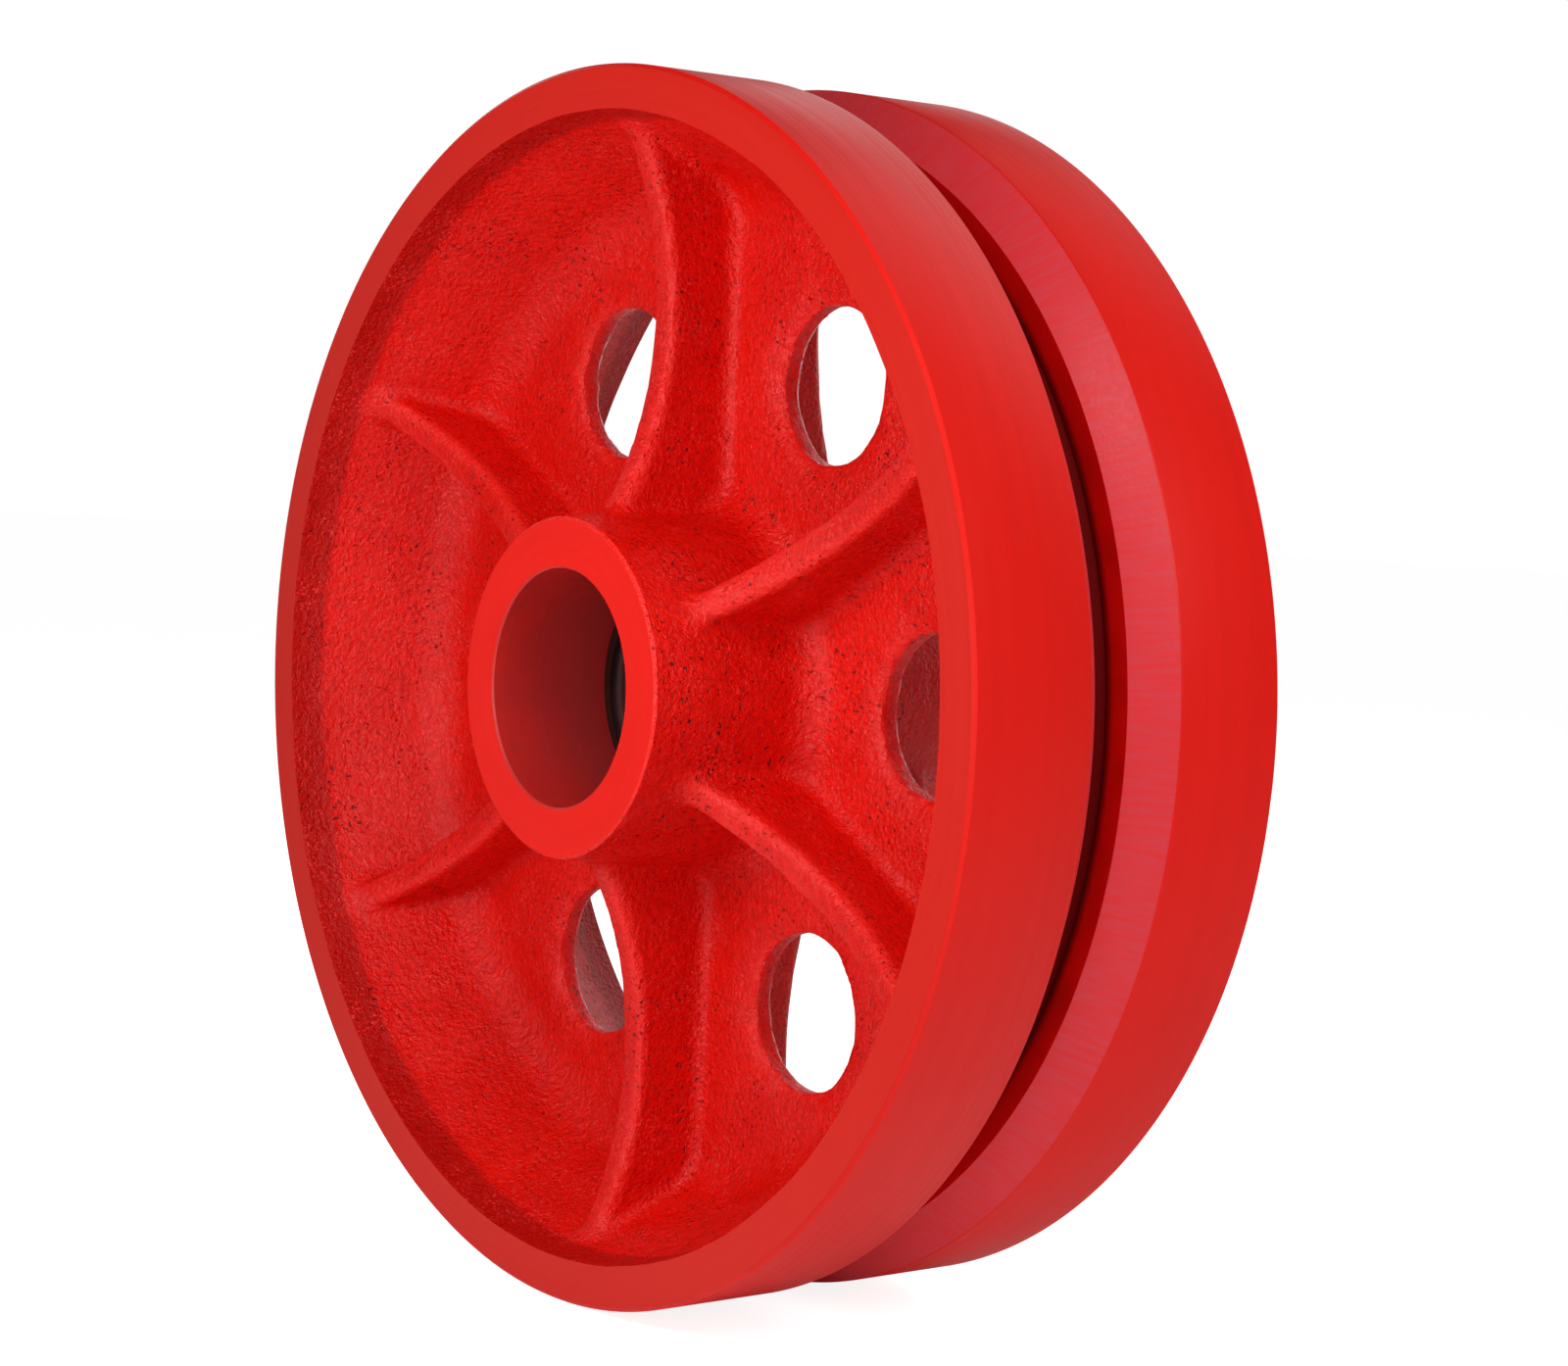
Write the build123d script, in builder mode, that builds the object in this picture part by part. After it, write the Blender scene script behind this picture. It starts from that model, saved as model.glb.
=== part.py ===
"""Cast V-groove wheel, 10 in x 3 in, with its sealed ball bearings.

The wheel is one iron casting: a rim with a V groove between two flat lands,
a web with six round holes, six straight ribs on each side of the web, a little
deeper at the rear, and a hub bored to 1-15/16 in.  Two sealed deep-groove ball bearings stand back to
back in the middle of the bore, held by an internal retaining ring at each end.

Frame: origin at the centre of the wheel, which turns about +Y, with one rib
pointing along +Z.  The front face looks along -Y.  Millimetres.
"""

import os
from math import cos, hypot, radians, sin

from build123d import *

INCH = 25.4
SIDES = {"front": -1, "rear": 1}

# Wheel casting: rim, web and hub
TREAD_RADIUS = 5 * INCH
FACE_WIDTH = 3 * INCH
HUB_LENGTH = 3.25 * INCH
HUB_RADIUS = 1.375 * INCH
HUB_FOOT_RADIUS = 37.8
BORE_RADIUS = 31 / 32 * INCH
RIM_FACE_INNER_RADIUS = 118.0
RIM_LIP_RADIUS = 117.4
RIM_LIP_DEPTH = 6.5
RIM_FOOT_RADIUS = 104.5
WEB_THICKNESS = 7.0
POCKET_FILLET = 5.0
CORNER_BREAK = 0.8
EDGE_BREAK = 0.4
CUTTER_OVERRUN = 1.0
SAME = 0.01

# V groove in the tread: two 45 degree flanks over a square slot
GROOVE_WIDTH = 22.2
GROOVE_OFFSET = 1.1
FLANK_DEPTH = 7.0
GROOVE_DEPTH = 13.0

# Holes through the web
HOLE_COUNT = 6
HOLE_RADIUS = 16.3
HOLE_PITCH_RADIUS = 74.0
HOLE_EDGE_RADIUS = 2.2

# Ribs on both sides of the web
RIB_COUNT = 6
RIB_FOOT_THICKNESS = 8.6
RIB_TIP_THICKNESS = 5.8
RIB_TIP_HEIGHT = 34.0
RIB_CREST_LOW_RADIUS = 77.5
RIB_CREST_LOW_HEIGHTS = {"front": 18.5, "rear": 20.5}
RIB_CREST_ARCS = {"front": 80.5, "rear": 94.0}
RIB_EDGE_RADIUS = 2.0
RIB_OVERLAP = 4.0

# Ball bearings, two alike, back to back about the middle of the hub
SHAFT_RADIUS = 0.5 * INCH
BEARING_WIDTH = 7 / 16 * INCH
BALL_RADIUS = 9 / 64 * INCH
BALL_COUNT = 10
BALL_GAP = 0.05
RACE_CURVE_RADIUS = 1.04 * BALL_RADIUS
OUTER_LAND_RADIUS = 21.1
INNER_LAND_RADIUS = 16.2
RACE_CHAMFER = 0.5

# Seals, pressed into a step of the outer race on each side of each bearing
SEAL_THICKNESS = 0.7
SEAL_INSET = 0.3
SEAL_STEP = 0.8
SEAL_LIP_GAP = 0.15
SEAL_RIM_BAND = 1.4
SEAL_LIP_BAND = 1.15
SEAL_DISH_DEPTH = 0.25

# Cage, pressed from strip in two halves and riveted between the balls
CAGE_STRIP = 0.6
CAGE_INNER_RADIUS = 17.1
CAGE_OUTER_RADIUS = 20.2
CAGE_POCKET_GAP = 0.1
RIVET_RADIUS = 0.55
RIVET_HEAD_RADIUS = 0.95
RIVET_HEAD_HEIGHT = 0.45

# Internal retaining rings, one in a groove of the bore at each end of the stack
RING_THICKNESS = 1.5
RING_GROOVE_WIDTH = 1.6
RING_GROOVE_DEPTH = 1.5
RING_OUTER_GAP = 0.05
RING_INNER_RADIUS = 22.6
RING_TAPER = 0.7
RING_EAR_RADIUS = 3.1
RING_EAR_PITCH_RADIUS = 20.7
RING_EAR_ANGLE = 13.0
RING_EAR_HOLE_RADIUS = 1.1
RING_GAP_ANGLE = 9.0

half_face = FACE_WIDTH / 2
half_hub = HUB_LENGTH / 2
half_web = WEB_THICKNESS / 2
rim_lip = half_face - RIM_LIP_DEPTH
rib_foot = RIB_FOOT_THICKNESS / 2
rib_tip = RIB_TIP_THICKNESS / 2
rib_start = HUB_FOOT_RADIUS - RIB_OVERLAP
rib_end = RIM_LIP_RADIUS + RIB_OVERLAP / 2
ball_pitch_radius = (BORE_RADIUS + SHAFT_RADIUS) / 2
race_centre_shift = RACE_CURVE_RADIUS - BALL_RADIUS - BALL_GAP
seal_seat_radius = OUTER_LAND_RADIUS + SEAL_STEP
seal_depth = SEAL_INSET + SEAL_THICKNESS

os.makedirs("parts", exist_ok=True)


def across(distance, side=1):
    """The plane square to the axle at this distance, its own Y pointing up."""
    return Plane(origin=(0, distance, 0), x_dir=(-side, 0, 0), z_dir=(0, side, 0))


def save(part, name):
    part.label = name
    export_step(part, f"parts/{name}.step")


# ---------------------------------------------------------------- wheel casting


def radius_of(edge):
    middle = edge.center()
    return hypot(middle.X, middle.Z)


def is_pocket_seam(edge):
    """Tell the concave seams of the twelve pockets: rib, web, hub and rim."""
    height = abs(edge.center().Y)
    if not HUB_RADIUS < radius_of(edge) < RIM_FACE_INNER_RADIUS or height > RIB_TIP_HEIGHT:
        return False
    on_web = abs(height - half_web) < SAME
    return edge.geom_type == GeomType.HYPERBOLA or (
        on_web and edge.geom_type in (GeomType.LINE, GeomType.CIRCLE)
    )


with BuildPart() as wheel_casting:
    # Six drafted bars run outwards through the web, one rib on each side of it.
    for k in range(RIB_COUNT):
        angle = radians(90 + 360 / RIB_COUNT * k)
        outward = Vector(cos(angle), 0, sin(angle))
        with BuildSketch(Plane(origin=outward * rib_start, x_dir=(0, 1, 0), z_dir=outward)):
            with BuildLine():
                Polyline(
                    (-RIB_TIP_HEIGHT, -rib_tip),
                    (0, -rib_foot),
                    (RIB_TIP_HEIGHT, -rib_tip),
                    (RIB_TIP_HEIGHT, rib_tip),
                    (0, rib_foot),
                    (-RIB_TIP_HEIGHT, rib_tip),
                    close=True,
                )
            make_face()
        extrude(amount=rib_end - rib_start)

    # One round dish on each side gives all the ribs their hollow crests.
    for end_name, side in SIDES.items():
        arc = RIB_CREST_ARCS[end_name]
        dish_centre = side * (RIB_CREST_LOW_HEIGHTS[end_name] + arc)
        with BuildSketch(Plane.XY):
            with Locations((RIB_CREST_LOW_RADIUS, dish_centre)):
                Circle(arc)
            with Locations((TREAD_RADIUS / 2, 0)):
                Rectangle(TREAD_RADIUS, 3 * FACE_WIDTH, mode=Mode.INTERSECT)
        revolve(axis=Axis.Y, mode=Mode.SUBTRACT)
    with BuildSketch(across(-half_face)):
        Circle(rib_start)
    extrude(amount=FACE_WIDTH, mode=Mode.SUBTRACT)
    crests = wheel_casting.edges().filter_by(GeomType.BSPLINE)
    fillet(crests.filter_by(lambda e: e.length > RIB_CREST_LOW_RADIUS), RIB_EDGE_RADIUS)

    # Rim, web and hub as cast, turned from one section.
    with BuildSketch(Plane.XY):
        with BuildLine():
            Polyline(
                (0, -half_hub),
                (HUB_RADIUS, -half_hub),
                (HUB_FOOT_RADIUS, -half_web),
                (RIM_FOOT_RADIUS, -half_web),
                (RIM_LIP_RADIUS, -rim_lip),
                (RIM_FACE_INNER_RADIUS, -half_face),
                (TREAD_RADIUS, -half_face),
                (TREAD_RADIUS, half_face),
                (RIM_FACE_INNER_RADIUS, half_face),
                (RIM_LIP_RADIUS, rim_lip),
                (RIM_FOOT_RADIUS, half_web),
                (HUB_FOOT_RADIUS, half_web),
                (HUB_RADIUS, half_hub),
                (0, half_hub),
                close=True,
            )
        make_face()
    revolve(axis=Axis.Y)
    fillet(wheel_casting.edges().filter_by(is_pocket_seam), POCKET_FILLET)

    # Six holes through the web, with rounded lips.
    with BuildSketch(across(-half_web)):
        with PolarLocations(HOLE_PITCH_RADIUS, HOLE_COUNT):
            Circle(HOLE_RADIUS)
    extrude(amount=WEB_THICKNESS, mode=Mode.SUBTRACT)
    lips = wheel_casting.edges().filter_by(GeomType.CIRCLE)
    fillet(lips.filter_by(lambda e: abs(e.radius - HOLE_RADIUS) < SAME), HOLE_EDGE_RADIUS)

    # Machining: the V groove with its flanks, slot and broken edges.
    groove_front = GROOVE_OFFSET - GROOVE_WIDTH / 2
    groove_rear = GROOVE_OFFSET + GROOVE_WIDTH / 2
    with BuildSketch(Plane.XY):
        with BuildLine():
            Polyline(
                (TREAD_RADIUS + CUTTER_OVERRUN, groove_front - EDGE_BREAK),
                (TREAD_RADIUS, groove_front - EDGE_BREAK),
                (TREAD_RADIUS - EDGE_BREAK / 2, groove_front),
                (TREAD_RADIUS - FLANK_DEPTH, groove_front + FLANK_DEPTH),
                (TREAD_RADIUS - GROOVE_DEPTH, groove_front + FLANK_DEPTH),
                (TREAD_RADIUS - GROOVE_DEPTH, groove_rear - FLANK_DEPTH),
                (TREAD_RADIUS - FLANK_DEPTH, groove_rear - FLANK_DEPTH),
                (TREAD_RADIUS - EDGE_BREAK / 2, groove_rear),
                (TREAD_RADIUS, groove_rear + EDGE_BREAK),
                (TREAD_RADIUS + CUTTER_OVERRUN, groove_rear + EDGE_BREAK),
                close=True,
            )
        make_face()
    revolve(axis=Axis.Y, mode=Mode.SUBTRACT)

    # Machining: the bore and the two grooves for its retaining rings.
    with BuildSketch(across(-half_hub)):
        Circle(BORE_RADIUS)
    extrude(amount=HUB_LENGTH, mode=Mode.SUBTRACT)
    for side in SIDES.values():
        with BuildSketch(across(side * BEARING_WIDTH, side)):
            Circle(BORE_RADIUS + RING_GROOVE_DEPTH)
        extrude(amount=RING_GROOVE_WIDTH, mode=Mode.SUBTRACT)

    # Machining: broken corners of the rim and of the hub ends.
    rims = wheel_casting.edges().filter_by(GeomType.CIRCLE)
    corners = rims.filter_by(
        lambda e: abs(abs(e.center().Y) - half_face) < SAME and e.radius > TREAD_RADIUS - SAME
    )
    chamfer(corners, CORNER_BREAK)
    hub_ends = wheel_casting.edges().filter_by(lambda e: abs(abs(e.center().Y) - half_hub) < SAME)
    chamfer(hub_ends, EDGE_BREAK)

save(wheel_casting.part, "wheel_casting")


# ------------------------------------------------------------------- bearings


def outer_race(middle):
    """Outer ring: ball track inside, a step for a seal at each end."""
    with BuildPart() as race:
        with BuildSketch(Plane.XY):
            with Locations(((OUTER_LAND_RADIUS + BORE_RADIUS) / 2, middle)):
                Rectangle(BORE_RADIUS - OUTER_LAND_RADIUS, BEARING_WIDTH)
            with Locations((ball_pitch_radius - race_centre_shift, middle)):
                Circle(RACE_CURVE_RADIUS, mode=Mode.SUBTRACT)
            for end in SIDES.values():
                seat = middle + end * (BEARING_WIDTH - seal_depth) / 2
                with Locations((OUTER_LAND_RADIUS + SEAL_STEP / 2, seat)):
                    Rectangle(SEAL_STEP, seal_depth, mode=Mode.SUBTRACT)
        revolve(axis=Axis.Y)
        rims = race.edges().filter_by(GeomType.CIRCLE)
        chamfer(rims.filter_by(lambda e: e.radius > BORE_RADIUS - SAME), RACE_CHAMFER)
    return race.part


def inner_race(middle):
    """Inner ring: ball track outside, bored for a 1 in axle."""
    with BuildPart() as race:
        with BuildSketch(Plane.XY):
            with Locations(((SHAFT_RADIUS + INNER_LAND_RADIUS) / 2, middle)):
                Rectangle(INNER_LAND_RADIUS - SHAFT_RADIUS, BEARING_WIDTH)
            with Locations((ball_pitch_radius + race_centre_shift, middle)):
                Circle(RACE_CURVE_RADIUS, mode=Mode.SUBTRACT)
        revolve(axis=Axis.Y)
        rims = race.edges().filter_by(GeomType.CIRCLE)
        chamfer(rims.filter_by(lambda e: e.radius < SHAFT_RADIUS + SAME), RACE_CHAMFER)
    return race.part


def balls(middle):
    """The ring of balls of one bearing."""
    with BuildPart() as ring:
        with Locations(across(middle)):
            with PolarLocations(ball_pitch_radius, BALL_COUNT):
                Sphere(BALL_RADIUS)
    return ring.part


def cage_half(middle, end):
    """Half a ribbon cage: a flat strip with a round pocket pressed out for each ball."""
    pocket_radius = BALL_RADIUS + CAGE_POCKET_GAP
    with BuildPart() as half:
        with Locations(across(middle)):
            with PolarLocations(ball_pitch_radius, BALL_COUNT):
                Sphere(pocket_radius + CAGE_STRIP)
        with BuildSketch(across(middle)):
            Circle(CAGE_OUTER_RADIUS)
            Circle(CAGE_INNER_RADIUS, mode=Mode.SUBTRACT)
        extrude(amount=CAGE_STRIP * end)
        with BuildSketch(across(middle)):
            Circle(CAGE_OUTER_RADIUS)
            Circle(CAGE_INNER_RADIUS, mode=Mode.SUBTRACT)
        extrude(amount=BEARING_WIDTH * end, mode=Mode.INTERSECT)
        with Locations(across(middle)):
            with PolarLocations(ball_pitch_radius, BALL_COUNT):
                Sphere(pocket_radius, mode=Mode.SUBTRACT)
            with PolarLocations(ball_pitch_radius, BALL_COUNT, start_angle=180 / BALL_COUNT):
                Cylinder(RIVET_RADIUS, BEARING_WIDTH, mode=Mode.SUBTRACT)
    return half.part


def cage_rivets(middle):
    """The rivets of one cage, a head on each side of the two strips."""
    with BuildPart() as rivets:
        with Locations(across(middle)):
            with PolarLocations(ball_pitch_radius, BALL_COUNT, start_angle=180 / BALL_COUNT):
                Cylinder(RIVET_RADIUS, 2 * CAGE_STRIP)
        for end in SIDES.values():
            with Locations(across(middle + end * (CAGE_STRIP + RIVET_HEAD_HEIGHT / 2))):
                with PolarLocations(ball_pitch_radius, BALL_COUNT, start_angle=180 / BALL_COUNT):
                    Cylinder(RIVET_HEAD_RADIUS, RIVET_HEAD_HEIGHT)
    return rivets.part


def seal(middle, end):
    """A thin dished disc in the step of the outer race, its lip just off the inner race."""
    face = middle + end * (BEARING_WIDTH / 2 - seal_depth)
    lip_radius = INNER_LAND_RADIUS + SEAL_LIP_GAP
    with BuildPart() as disc:
        with BuildSketch(across(face)):
            Circle(seal_seat_radius)
            Circle(lip_radius, mode=Mode.SUBTRACT)
        extrude(amount=SEAL_THICKNESS * end)
        with BuildSketch(across(face + end * SEAL_THICKNESS)):
            Circle(seal_seat_radius - SEAL_RIM_BAND)
            Circle(lip_radius + SEAL_LIP_BAND, mode=Mode.SUBTRACT)
        extrude(amount=-SEAL_DISH_DEPTH * end, mode=Mode.SUBTRACT)
    return disc.part


def retaining_ring(side):
    """Internal retaining ring: a tapered open ring with two eared ends, its gap downwards."""
    with BuildPart() as ring:
        with BuildSketch(across(side * BEARING_WIDTH)):
            Circle(BORE_RADIUS + RING_GROOVE_DEPTH - RING_OUTER_GAP)
            with Locations((0, -RING_TAPER)):
                Circle(RING_INNER_RADIUS, mode=Mode.SUBTRACT)
            for tilt in (-RING_EAR_ANGLE, RING_EAR_ANGLE):
                with PolarLocations(RING_EAR_PITCH_RADIUS, 1, start_angle=270 + tilt):
                    Circle(RING_EAR_RADIUS)
            with BuildLine(mode=Mode.PRIVATE) as gap:
                Polyline(
                    (0, 0),
                    (-TREAD_RADIUS * sin(radians(RING_GAP_ANGLE)), -TREAD_RADIUS),
                    (TREAD_RADIUS * sin(radians(RING_GAP_ANGLE)), -TREAD_RADIUS),
                    close=True,
                )
            make_face(gap.edges(), mode=Mode.SUBTRACT)
            for tilt in (-RING_EAR_ANGLE, RING_EAR_ANGLE):
                with PolarLocations(RING_EAR_PITCH_RADIUS, 1, start_angle=270 + tilt):
                    Circle(RING_EAR_HOLE_RADIUS, mode=Mode.SUBTRACT)
        extrude(amount=RING_THICKNESS * side)
    return ring.part


for end_name, side in SIDES.items():
    middle = side * BEARING_WIDTH / 2
    save(outer_race(middle), f"{end_name}_outer_race")
    save(inner_race(middle), f"{end_name}_inner_race")
    save(balls(middle), f"{end_name}_balls")
    save(cage_half(middle, side), f"{end_name}_cage_outer_half")
    save(cage_half(middle, -side), f"{end_name}_cage_inner_half")
    save(cage_rivets(middle), f"{end_name}_cage_rivets")
    save(seal(middle, side), f"{end_name}_outer_seal")
    save(seal(middle, -side), f"{end_name}_inner_seal")
    save(retaining_ring(side), f"{end_name}_retaining_ring")
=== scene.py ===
"""Looks of the cast iron V-groove wheel and its two sealed ball bearings.

The casting is made again as a fine mesh, the way the real one is made: the rough
skin of hub, web, rim, ribs and holes is meshed from a distance field and given its
sand texture, and then it is cut to the machined outline.  The bearing pieces keep
their own meshes.  Lengths are millimetres and MM turns them into metres, except for
the floor and the lights, which are in metres.  Angles are degrees.
"""

from itertools import product
from math import cos, pi, radians, sin

import bpy
import numpy as np
from mathutils import Matrix, Vector

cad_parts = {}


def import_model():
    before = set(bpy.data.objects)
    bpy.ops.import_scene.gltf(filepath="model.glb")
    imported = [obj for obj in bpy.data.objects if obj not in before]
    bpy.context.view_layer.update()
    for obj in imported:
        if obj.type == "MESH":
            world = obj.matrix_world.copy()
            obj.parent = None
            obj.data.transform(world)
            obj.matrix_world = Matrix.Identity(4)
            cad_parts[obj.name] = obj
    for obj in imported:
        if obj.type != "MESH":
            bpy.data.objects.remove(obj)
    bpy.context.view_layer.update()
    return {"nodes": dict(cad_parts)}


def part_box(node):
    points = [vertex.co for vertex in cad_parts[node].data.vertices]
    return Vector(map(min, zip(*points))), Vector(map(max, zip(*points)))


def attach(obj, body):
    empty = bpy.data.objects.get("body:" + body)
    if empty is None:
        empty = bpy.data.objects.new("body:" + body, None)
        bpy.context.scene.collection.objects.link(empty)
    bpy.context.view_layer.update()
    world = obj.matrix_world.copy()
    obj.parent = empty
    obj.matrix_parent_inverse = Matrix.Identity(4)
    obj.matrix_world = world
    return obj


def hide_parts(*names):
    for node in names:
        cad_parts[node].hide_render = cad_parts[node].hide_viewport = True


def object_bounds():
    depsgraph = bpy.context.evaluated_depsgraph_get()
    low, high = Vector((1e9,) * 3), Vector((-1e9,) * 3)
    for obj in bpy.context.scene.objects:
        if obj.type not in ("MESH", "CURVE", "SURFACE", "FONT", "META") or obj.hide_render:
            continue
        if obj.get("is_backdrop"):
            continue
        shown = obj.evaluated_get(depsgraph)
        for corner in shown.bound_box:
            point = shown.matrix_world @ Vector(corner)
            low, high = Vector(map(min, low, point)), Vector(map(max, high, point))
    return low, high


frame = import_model()

MM = 0.001
_, wheel_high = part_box("wheel_casting")
TREAD_RADIUS = wheel_high.x / MM
HALF_HUB = wheel_high.y / MM

# Rough casting
HALF_FACE = 38.1
HALF_WEB = 3.5
HUB_TOP_RADIUS = 34.925
HUB_FOOT_RADIUS = 37.8
RIM_LIP_TOP_RADIUS = 118.0
RIM_LIP_RADIUS = 117.4
RIM_LIP_DEPTH = 6.5
RIM_FOOT_RADIUS = 104.5
HUB_FILLET = 7.0
RIM_FILLET = 7.0
LIP_FILLET = 1.5
ALLOWANCE = 3.0  # metal left on the blank for machining

# Ribs
RIB_FOOT_HALF = 4.3
RIB_TIP_HALF = 2.9
RIB_TIP_HEIGHT = 34.0
RIB_LOW_RADIUS = 77.5  # where the dished crest is lowest
RIB_LOW_HEIGHTS = (18.9, 20.9)  # front, rear
RIB_ARCS = (80.5, 94.0)  # radius of the crest's arc: front, rear
RIB_EDGE_RADIUS = 1.9
RIB_FILLET = 2.8
SECTOR = pi / 3

# Holes through the web, with a worn countersink
HOLE_RADIUS = 16.3
HOLE_PITCH_RADIUS = 74.0
HOLE_SINK_RADIUS = 20.2
HOLE_SINK_DEPTH = 1.3
HOLE_CUTTER_RADIUS = 21.5
HOLE_EDGE_RADIUS = 0.9

# Machined outline
BORE_RADIUS = 24.60625
CORNER_BREAK = 0.8
EDGE_BREAK = 0.4
GROOVE_WIDTH = 22.2
GROOVE_OFFSET = 1.1
FLANK_DEPTH = 7.0
GROOVE_DEPTH = 13.0
RING_GROOVE_NEAR = 11.1125
RING_GROOVE_FAR = 12.7125
RING_GROOVE_RADIUS = 26.10625
TURNED_SEGMENTS = 360

# Mesh of the casting, and the height, wavelength and place in the noise of its roughness
NET_STEP = 1.5
NET_PULLS = 3  # times that each point is drawn on to the skin
GRADIENT_REACH = 0.05
SMALLEST_SLOPE = 1e-9
LATTICE = 64
NOISE_SEED = 11
SWELL, SWELL_LENGTH = 0.30, 34.0
LUMPS, LUMP_LENGTH, LUMP_SHIFT = 0.11, 8.0, 300
GRAIN, GRAIN_LENGTH, GRAIN_SHIFT = 0.035, 4.0, 700
LIP_ROUGHNESS, LIP_ROUGH_LENGTH, LIP_SHIFT = 0.55, 4.2, 500
LIP_SPREAD = 2.4  # how far a hole's rough lip reaches

# Material slots of the casting, one for each kind of surface
CAST, TURNED, FLANK, BORED, SUNK = range(5)
FLAT = 0.02  # how far a face may be off a machined surface and still belong to it
SHARP_ANGLE = 30.0

# Where the paint changes, as radii, heights above the middle plane or heights above the slot
# Radii over which the rim's lip turns to painted shade
LIP_SHADE_START, LIP_SHADE_END = 116.4, 117.0
RIM_FACE_START = (HALF_FACE - 0.2, HALF_FACE - 0.05)
RIM_FACE_END = (HALF_FACE + 0.2, HALF_FACE + 0.4)
# Height above the middle plane up to which the bore is at its brownest
BORE_BROWN_UP_TO = 14.0
# Heights above the slot's floor where its painted shade ends and the red begins
SLOT_SHADE_UP_TO, SLOT_RED_FROM = 0.2, 2.5
CHATTER_ROUND = 110.0  # noise cells in a radian round the axle
CHATTER_ACROSS = 110.0  # noise cells in a metre along the axle

# Paint
CAST_RED = (0.82, 0.0045, 0.0010, 1)
CAST_RED_LIGHT = (0.90, 0.0060, 0.0014, 1)
CAST_RED_DARK = (0.56, 0.0040, 0.0016, 1)
# Painted highlight colour: pale pink glints on the grain
PAINTED_GLINT_PINK = (0.92, 0.0400, 0.0360, 1)
# Painted highlight colour for the crests and other convex edges
CREST_PAINTED_HIGHLIGHT = (1.0, 0.0200, 0.0140, 1)
# Painted shade colour for the lip at the top of the rim's inner wall
LIP_PAINTED_SHADE = (0.34, 0.0022, 0.0008, 1)
PIT_BROWN = (0.06, 0.006, 0.006, 1)
TURNED_RED = (0.86, 0.0100, 0.0050, 1)
TURNED_RED_DEEP = (0.74, 0.0090, 0.0045, 1)
TURNED_RED_LIGHT = (0.90, 0.0130, 0.0070, 1)
# Browner and darker red of the rim faces: partly a real tint, partly painted shade
RIM_FACE_BROWN_AND_SHADE = (0.70, 0.0150, 0.0070, 1)
# Flank red with a painted pink sheen in its green and blue
FLANK_RED_PAINTED_SHEEN = (0.80, 0.0520, 0.0700, 1)
BORE_RED = (0.68, 0.020, 0.016, 1)
BORE_BROWN = (0.42, 0.024, 0.024, 1)
SLOT_RED = (0.84, 0.003, 0.0015, 1)
# Painted shade colour for the floor of the groove's slot
SLOT_PAINTED_SHADE = (0.13, 0.0005, 0.0005, 1)

# Bearings, seals and rings
RUBBER_BROWN = (0.050, 0.012, 0.010, 1)
RUBBER_DUST = (0.085, 0.030, 0.026, 1)
BEARING_STEEL = (0.52, 0.52, 0.53, 1)
BALL_STEEL = (0.70, 0.70, 0.72, 1)
CAGE_STEEL = (0.46, 0.42, 0.34, 1)
RIVET_STEEL = (0.50, 0.49, 0.47, 1)
RING_STEEL = (0.070, 0.030, 0.028, 1)
STAIN_SHADE = 0.72

# Floor and studio; STUDIO pairs how much a direction faces the backdrop with its brightness
FLOOR_HALF = 6.0
FLOOR_GLOW = 0.86
FLOOR_PALE = (0.93, 0.93, 0.93, 1)
FLOOR_PALER = (0.96, 0.96, 0.96, 1)
WHITE = (1.0, 1.0, 1.0)
WARM_WHITE = (1.0, 0.99, 0.98)
COOL_WHITE = (1.0, 0.98, 1.0)
BACKDROP_AZIMUTH = 232.0
BACKDROP_ELEVATION = 5.0
STUDIO = ((-1.0, 0.26), (-0.2, 0.26), (0.1, 0.03), (0.88, 0.03), (0.94, 0.35))

# Camera
CAMERA_AZIMUTH = 52.497
CAMERA_ELEVATION = 3.843
CAMERA_ROLL = 2.614
CAMERA_DISTANCE = 676.2
CAMERA_RIGHT = 13.83
CAMERA_UP = 0.81
CAMERA_LENS = 72.92
SENSOR_WIDTH = 36.0
CLIP_START, CLIP_END = 0.05, 50


# ------------------------------------------------------------------ mesh helpers


def smooth_noise(seed):
    """A repeatable noise function of points and wavelength, from -1 to 1."""
    lattice = np.random.default_rng(seed).uniform(-1, 1, (LATTICE,) * 3)

    def noise(points, wavelength):
        place = points / wavelength
        cell = np.floor(place).astype(int)
        part = place - cell
        blend = part * part * (3 - 2 * part)
        total = np.zeros(len(points))
        for corner in product((0, 1), repeat=3):
            weight = np.where(corner, blend, 1 - blend).prod(axis=1)
            at = (cell + corner) % LATTICE
            total += weight * lattice[at[:, 0], at[:, 1], at[:, 2]]
        return total

    return noise


def join(a, b, radius):
    """Union of two distance fields, with a fillet of this radius where they meet."""
    near = np.maximum(radius, np.minimum(a, b))
    return near - np.hypot(np.maximum(radius - a, 0), np.maximum(radius - b, 0))


def meet(a, b, radius):
    """Intersection of two distance fields, with its edge rounded to this radius."""
    return -join(-a, -b, radius)


def side_of_line(radius, height, start, end):
    """Distance from the line through two (radius, height) points, positive outwards."""
    run, rise = end[0] - start[0], end[1] - start[1]
    length = np.hypot(run, rise)
    return ((radius - start[0]) * rise - (height - start[1]) * run) / length


def fold(x, z, first_angle):
    """Fold six equal sectors on one: distance along and beside the nearest of six rays."""
    turn = np.arctan2(z, x) - first_angle + SECTOR / 2
    turn = np.mod(turn, SECTOR) - SECTOR / 2
    radius = np.hypot(x, z)
    return radius * np.cos(turn), radius * np.sin(turn)


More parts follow.
